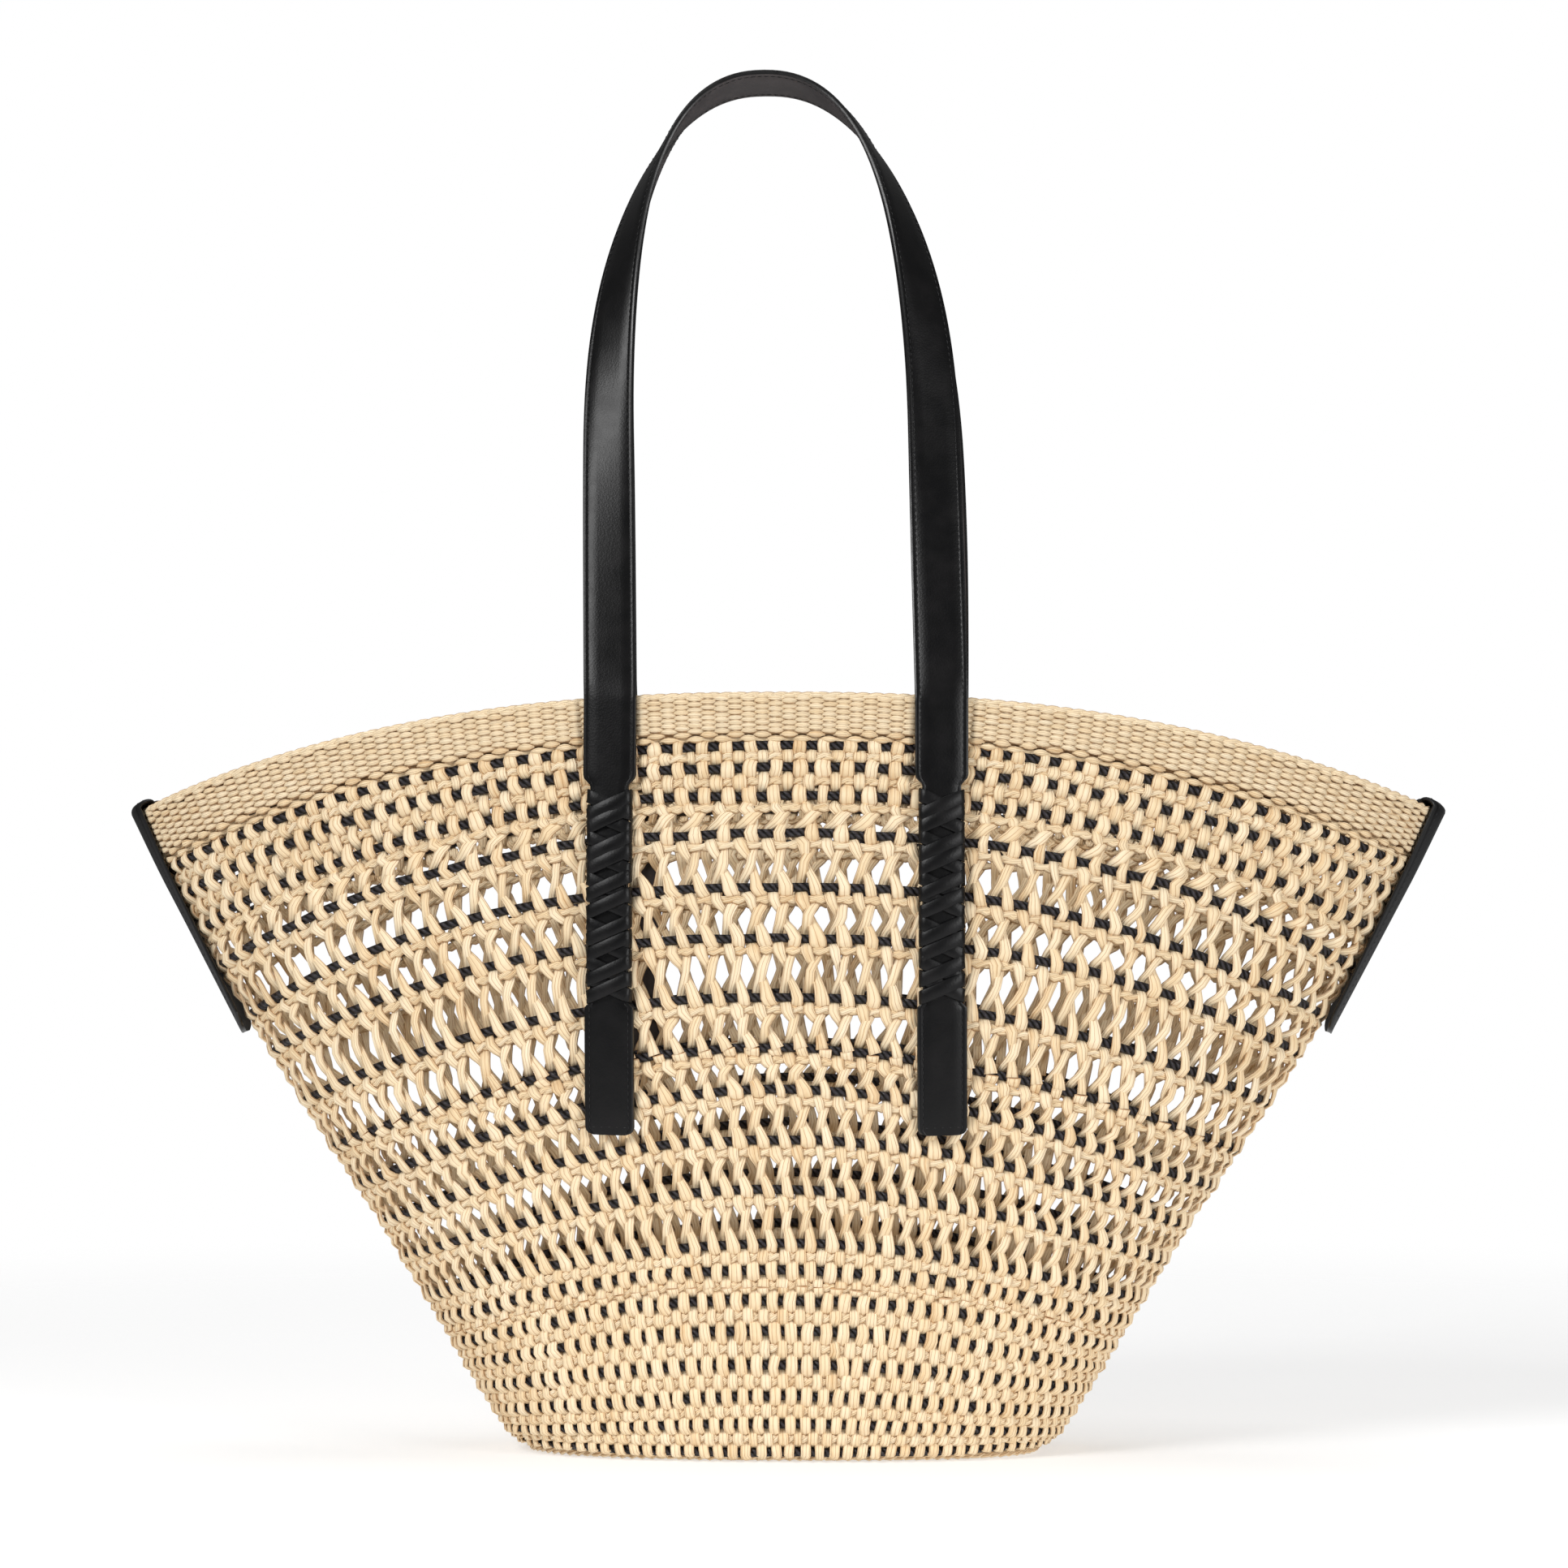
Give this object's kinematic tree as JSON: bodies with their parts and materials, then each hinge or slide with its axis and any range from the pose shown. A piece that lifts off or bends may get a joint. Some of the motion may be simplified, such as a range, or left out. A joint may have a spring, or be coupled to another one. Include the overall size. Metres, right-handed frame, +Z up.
{
  "type": "straw basket bag",
  "caption": "Woven straw basket bag with an oval base, a flared pierced wall, a twined rim, leather shoulder straps laced to front and back, and leather tabs over the rim's ends.",
  "frame": {"origin": "on the ground under the middle of the base", "axes": "+X along the mouth's width, +Y from the front to the back, +Z up"},
  "size_m": [0.6156, 0.1902, 0.6488],
  "materials": {
    "raffia": "matte plaited raffia with black cord rows",
    "leather": "satin black leather"
  },
  "bodies": {
    "root": {"basket_base": "raffia", "basket_wall": "raffia", "rim_band": "raffia", "front_strap": "leather", "front_lacing_a": "leather", "front_lacing_b": "leather", "back_strap": "leather", "back_lacing_a": "leather", "back_lacing_b": "leather", "right_tab": "leather", "left_tab": "leather"}
  },
  "joints": []
}
